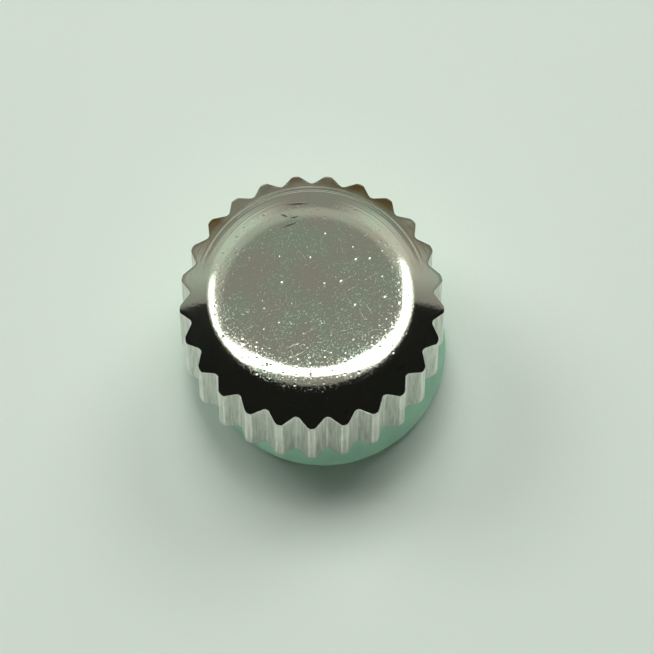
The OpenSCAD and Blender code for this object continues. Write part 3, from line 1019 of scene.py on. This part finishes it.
# %% The tree that winds a spring
def spring_tree():
    """A tree that winds round wire into a spring with one closed turn at each end."""
    sizes = ("Turns", "Radius", "Wire Radius", "Closed Rise", "Open Rise", "Level")
    tree, given = begin_tree("spring_coil", {**dict.fromkeys(sizes, "Float"),
                                             "Material": "Material"}, "Coil")
    circle = add(tree, "GeometryNodeCurveSpiral", {
        "Resolution": 60, "Rotations": given["Turns"], "Start Radius": given["Radius"],
        "End Radius": given["Radius"], "Height": 0.0})
    done = add(tree, "GeometryNodeSplineParameter").outputs["Factor"]
    turn = add(tree, "ShaderNodeMath", (done, given["Turns"]), operation="MULTIPLY")
    last = add(tree, "ShaderNodeMath", (given["Turns"], 1.0), operation="SUBTRACT")
    # The wire rises at one rate in the first turn, at another up to the last turn, and then again
    # at the first rate
    height = 0.0
    for start, end, rise in ((0.0, 1.0, "Closed Rise"), (1.0, last, "Open Rise"),
                             (last, given["Turns"], "Closed Rise")):
        part = add(tree, "ShaderNodeMapRange", {"Value": turn, "From Min": start, "From Max": end,
                                                "To Max": given[rise]})
        height = add(tree, "ShaderNodeMath", (height, part), operation="ADD")
    level = add(tree, "ShaderNodeMath", (height, given["Level"]), operation="ADD")
    up = add(tree, "ShaderNodeCombineXYZ", {"Z": level})
    wound = add(tree, "GeometryNodeSetPosition", {"Geometry": circle, "Offset": up})
    upright = add(tree, "GeometryNodeSetCurveNormal", {"Curve": wound}, mode="Z_UP")
    section = add(tree, "GeometryNodeCurvePrimitiveCircle", {
        "Resolution": 20, "Radius": given["Wire Radius"]})
    wire = add(tree, "GeometryNodeCurveToMesh", {"Curve": upright, "Profile Curve": section,
                                                 "Fill Caps": True})
    real = add(tree, "GeometryNodeRealizeInstances", [wire])
    finish = add(tree, "GeometryNodeSetMaterial", {"Geometry": real, "Material": given["Material"]})
    add(tree, "NodeGroupOutput", {"Coil": finish})
    return tree


# %% [markdown]
# In the crown the post shortens the coil as it moves in: the end against the thrust washer stays
# where it is, and the coil is squashed towards it by the travel of the post. Here it is wound at its
# rest length and rides on the head.

# %% Return spring
WIRE_R = 0.065
SPRING_TURNS = 4.5
# A closed turn rises by a little more than the wire's width, so that the turns don't cut each other
CLOSED_PITCH = 1.15
coil_low, coil_high = levels("return_spring")
closed_rise = WIRE_R * 2 * CLOSED_PITCH
open_rise = coil_high - coil_low - 2 * WIRE_R - 2 * closed_rise
coil = run_tree(new_piece("coil_spring", [[(0, 0, 0)]], closed=False), spring_tree(), {
    "Turns": SPRING_TURNS, "Radius": (reach("return_spring") - WIRE_R) * MM,
    "Wire Radius": WIRE_R * MM, "Closed Rise": closed_rise * MM, "Open Rise": open_rise * MM,
    "Level": (coil_low + WIRE_R) * MM, "Material": SPRING_WIRE})
print("spring:", SPRING_TURNS, "turns,", round(coil_high - coil_low, 3), "mm long at rest")
place(coil, "head", "spring_steel", "return_spring")
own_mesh(coil)

# %% [markdown]
# ## The camera
#
# The crown was looked down on from the front at 73 degrees above the table, through a long lens, so
# near and far teeth have the same size.

# %% Camera
LENS_MM = 390
SENSOR_MM = 36
CAMERA_DISTANCE = 160 * MM
CLIP_START = 5 * MM
ELEVATION = math.radians(73.1)
# The camera aims this far right of the axis at the level of the tips, and down the picture, in mm
AIM_RIGHT = 0.341
AIM_DOWN = 0.567
toward_camera = Vector((0, -math.cos(ELEVATION), math.sin(ELEVATION)))
up = Vector((0, math.sin(ELEVATION), math.cos(ELEVATION)))
tip_level = bevel_height(Vector((TIP_R, 0)))
aim = (Vector((AIM_RIGHT, 0, tip_level)) - up * AIM_DOWN) * MM
camera = bpy.data.objects.new("camera", bpy.data.cameras.new("camera"))
camera.data.lens = LENS_MM
camera.data.sensor_width = SENSOR_MM
camera.data.clip_start = CLIP_START
camera.location = aim + toward_camera * CAMERA_DISTANCE
camera.rotation_euler = toward_camera.to_track_quat("Z", "Y").to_euler()
bpy.context.scene.collection.objects.link(camera)
bpy.context.scene.camera = camera
print(f"camera: {LENS_MM} mm lens, {math.degrees(ELEVATION):.0f} degrees above the table")

# %% [markdown]
# ## The table
#
# A pale card with a faint grain, much wider than the view.

# %% Floor
FLOOR_HALF = 600 * MM


def pale_card():
    """Matt card: almost even, with a grain about 0.2 mm wide."""
    material, tree, shader, mm = new_material("card_pale_matt")
    cloud = add(tree, "ShaderNodeTexNoise", {"Vector": mm, "Scale": 0.12, "Detail": 3.0})
    tone = add(tree, "ShaderNodeMix", {"Factor": cloud, "A": colour("e3e8e6"),
                                       "B": colour("dfe5e2")}, data_type="RGBA")
    grain = add(tree, "ShaderNodeTexNoise", {"Vector": mm, "Scale": 5.0, "Detail": 3.0})
    bump = add(tree, "ShaderNodeBump", {"Height": grain, "Distance": 0.004 * MM})
    fill(shader, {"Base Color": tone.outputs["Result"], "Roughness": 0.75,
                  "Specular IOR Level": 0.2, "Normal": bump})
    return material


floor_mesh = bpy.data.meshes.new("floor")
corners = [(-1, -1, 0), (1, -1, 0), (1, 1, 0), (-1, 1, 0)]
floor_mesh.from_pydata([Vector(c) * FLOOR_HALF for c in corners], [], [(0, 1, 2, 3)])
floor_mesh.materials.append(pale_card())
floor = bpy.data.objects.new("floor", floor_mesh)
bpy.context.scene.collection.objects.link(floor)
print(f"floor: {2 * FLOOR_HALF / MM:.0f} mm wide")


# %% [markdown]
# ## Studio light
#
# A mirror shows its surroundings, so most of the look of polished steel is made by the light. Here
# the surroundings are one soft arch of light over a dim room. Seen from the crown, the arch stands a
# little in front of straight up and comes down on both sides, and what lies in front of it is dark,
# because that is where the camera stands. The tilt of each part of the face picks a direction of that
# room: the bevel in front sees the dark, the round edge of the face sees the arch as a bright line,
# and the face sees the even grey above.

# %% Levels of the room's light
ARCH_LIGHT = 4.2
SIDE_LIGHT = 3.6
ROOM_LIGHT = 0.36
HAZE_LIGHT = 0.24
PATCH_LIGHT = 0.5
DARK_LIGHT = 0.014
LOW_LIGHT = 3.0
MATT_LOW_LIGHT = 4.8

# %% [markdown]
# A direction has three parts, from -1 to 1: right, back and up. The room is drawn with soft steps.
# Each follows one measure of the direction and fades from one value to another, and where steps are
# multiplied, only what lies inside all of them is left.

# %% Forms, soft steps and masks of the room
# On a plan of the sky the arch lies between two rounded forms: the outer one is an ellipse, and the
# inner one is flatter in front. Each form: its shift to the left, its turn, half its width, its
# depth in front of the middle and behind it, and the power of its curve
FORMS = {"outer": (0.02, 0.0, 0.83, 0.675, 0.75, 2.0), "inner": (0.06, 0.08, 0.66, 0.25, 0.5, 4.0)}
# How far back the middle of both forms lies
FORM_MIDDLE = 0.2
# The arch ends lower on the right than on the left
END_SLOPE = -0.07
# What a step follows, where it starts and ends, and its values there
STEPS = {
    "in_outer": ("outer", 1.02, 0.86, 0, 1), "past_inner": ("inner", 0.95, 1.3, 0, 1),
    "beside_lens": ("lens", -0.03, 0.03, 0, 1), "before_end": ("end", 0.55, 0.46, 0, 1),
    "arch_level": ("back", 0.0, 0.3, ARCH_LIGHT, SIDE_LIGHT),
    "haze_top": ("up", 0.79, 0.68, 0, 1), "haze_foot": ("up", 0.48, 0.57, 0, 1),
    "patch_top": ("up", 0.62, 0.48, 0, 1), "patch_foot": ("up", 0.27, 0.38, 0, 1),
    "patch_side": ("side", 0.1, 0.42, 0, 1), "patch_back": ("back", 0.25, 0.65, 0, 1),
    "past_outer": ("outer", 0.95, 1.05, 0, 1), "in_front": ("back", 0.265, 0.225, 0, 1),
    "strip": ("up", 0.16, 0.04, DARK_LIGHT, LOW_LIGHT),
    "matt_strip": ("up", 0.16, 0.04, DARK_LIGHT, MATT_LOW_LIGHT)}
# Masks are products of two steps or masks
MASKS = {
    "band": ("in_outer", "past_inner"), "open": ("beside_lens", "before_end"),
    "arch": ("band", "open"), "haze": ("haze_top", "haze_foot"),
    "patch_band": ("patch_top", "patch_foot"), "shoulder": ("patch_side", "patch_back"),
    "patch": ("patch_band", "shoulder"), "front": ("past_outer", "in_front")}


# %% The tree of the room
def room_masks(tree):
    """Adds the forms, steps and masks of the room to a tree, by their names."""
    way = add(tree, "ShaderNodeTexCoord").outputs["Generated"]
    way = add(tree, "ShaderNodeVectorMath", [way], operation="NORMALIZE")
    right, back, up = add(tree, "ShaderNodeSeparateXYZ", [way]).outputs
    side = add(tree, "ShaderNodeMath", [right], operation="ABSOLUTE")
    # The camera hides the middle of the arch's front edge
    hidden = add(tree, "ShaderNodeMapRange", {"Value": side, "From Min": 0.1, "From Max": 0.3,
                                              "To Min": 0.248, "To Max": 0.28},
                 interpolation_type="SMOOTHSTEP")
    lens = add(tree, "ShaderNodeMath", (back, hidden), operation="ADD")
    end = add(tree, "ShaderNodeMath", (right, END_SLOPE, back), operation="MULTIPLY_ADD")
    room = {"back": back, "up": up, "side": side, "lens": lens, "end": end}
    for name, (shift, turn, wide, front, behind, power) in FORMS.items():
        across = add(tree, "ShaderNodeMath", (right, shift), operation="ADD")
        across = add(tree, "ShaderNodeMath", [across], operation="ABSOLUTE")
        across = add(tree, "ShaderNodeMath", (across, wide), operation="DIVIDE")
        across = add(tree, "ShaderNodeMath", (across, power), operation="POWER")
        middle = add(tree, "ShaderNodeMath", (right, turn, FORM_MIDDLE), operation="MULTIPLY_ADD")
        ahead = add(tree, "ShaderNodeMath", (middle, back), operation="SUBTRACT")
        halves = [add(tree, "ShaderNodeMath", (ahead, depth), operation="DIVIDE")
                  for depth in (front, -behind)]
        deep = add(tree, "ShaderNodeMath", halves, operation="MAXIMUM")
        deep = add(tree, "ShaderNodeMath", (deep, power), operation="POWER")
        room[name] = add(tree, "ShaderNodeMath", (across, deep), operation="ADD")
    for name, (measured, start, end, low, high) in STEPS.items():
        room[name] = add(tree, "ShaderNodeMapRange", {
            "Value": room[measured], "From Min": start, "From Max": end, "To Min": low,
            "To Max": high}, interpolation_type="SMOOTHSTEP")
    for name, (first, second) in MASKS.items():
        room[name] = add(tree, "ShaderNodeMath", (room[first], room[second]), operation="MULTIPLY")
    return room


# %% The world of the studio
def studio():
    """A world whose light depends on the direction, and on the kind of surface that it falls on."""
    world = bpy.data.worlds.new("studio")
    world.use_nodes = True
    tree = world.node_tree
    tree.nodes.clear()
    room = room_masks(tree)
    # Behind the arch the room is an even grey, paler low down, with two patches low at the back
    level = add(tree, "ShaderNodeMath", (room["haze"], HAZE_LIGHT, ROOM_LIGHT),
                operation="MULTIPLY_ADD")
    level = add(tree, "ShaderNodeMath", (room["patch"], PATCH_LIGHT, level),
                operation="MULTIPLY_ADD")
    # In front it is dark, down to a paler strip close to the table. Card and rubber see only such a
    # strip, all round, and the lamps below give them the rest
    matt = add(tree, "ShaderNodeLightPath").outputs["Is Diffuse Ray"]
    for amount, light in ((room["front"], room["strip"]), (room["arch"], room["arch_level"]),
                          (matt, room["matt_strip"])):
        level = add(tree, "ShaderNodeMix", {"Factor": amount, "A": level, "B": light},
                    data_type="FLOAT")
    tint = add(tree, "ShaderNodeMix", {"Factor": room["arch"], "A": colour("f1f8e3"),
                                       "B": colour("f8fff4")}, data_type="RGBA")
    shine = add(tree, "ShaderNodeBackground", {"Color": tint.outputs["Result"],
                                               "Strength": level})
    add(tree, "ShaderNodeOutputWorld", {"Surface": shine})
    # A world sampled as a lamp shows its bright arch to card and rubber too, whatever the ray
    world.cycles.sampling_method = "NONE"
    return world


bpy.context.scene.world = studio()
print("studio:", len(bpy.context.scene.world.node_tree.nodes), "nodes")

# %% [markdown]
# The table needs more light than a mirror may show, so four lamps light the card and the soft seal,
# and steel doesn't show them. They follow the arch: one overhead, one a little behind it, and one
# behind each shoulder. Their soft shadows spread to both sides and are deep only just in front.

# %% Lamps over the table
LAMP_DISTANCE = 300 * MM
LAMP_COLOUR = colour("f8fff4")[:3]
# Angle from straight up and compass angle from +X in degrees, width in mm, and power in watts
LAMPS = {"lamp_over": (13, 105, 60, 0.148), "lamp_behind": (24, 96, 110, 0.27),
         "lamp_right": (44, 55, 150, 0.245), "lamp_left": (46, 147, 150, 0.265)}
for name, (tilt, turn, width, watts) in LAMPS.items():
    tilt, turn = math.radians(tilt), math.radians(turn)
    lamp = bpy.data.objects.new(name, bpy.data.lights.new(name, "AREA"))
    lamp.data.shape = "DISK"
    lamp.data.size = width * MM
    lamp.data.energy = watts
    lamp.data.color = LAMP_COLOUR
    way = Vector((math.sin(tilt) * math.cos(turn), math.sin(tilt) * math.sin(turn), math.cos(tilt)))
    lamp.location = way * LAMP_DISTANCE
    lamp.rotation_euler = way.to_track_quat("Z", "Y").to_euler()
    lamp.visible_glossy = False
    bpy.context.scene.collection.objects.link(lamp)
print("lamps:", ", ".join(LAMPS))

# %% Colours of the picture
# They go to the picture as they are, without the curve of a film
bpy.context.scene.view_settings.view_transform = "Standard"
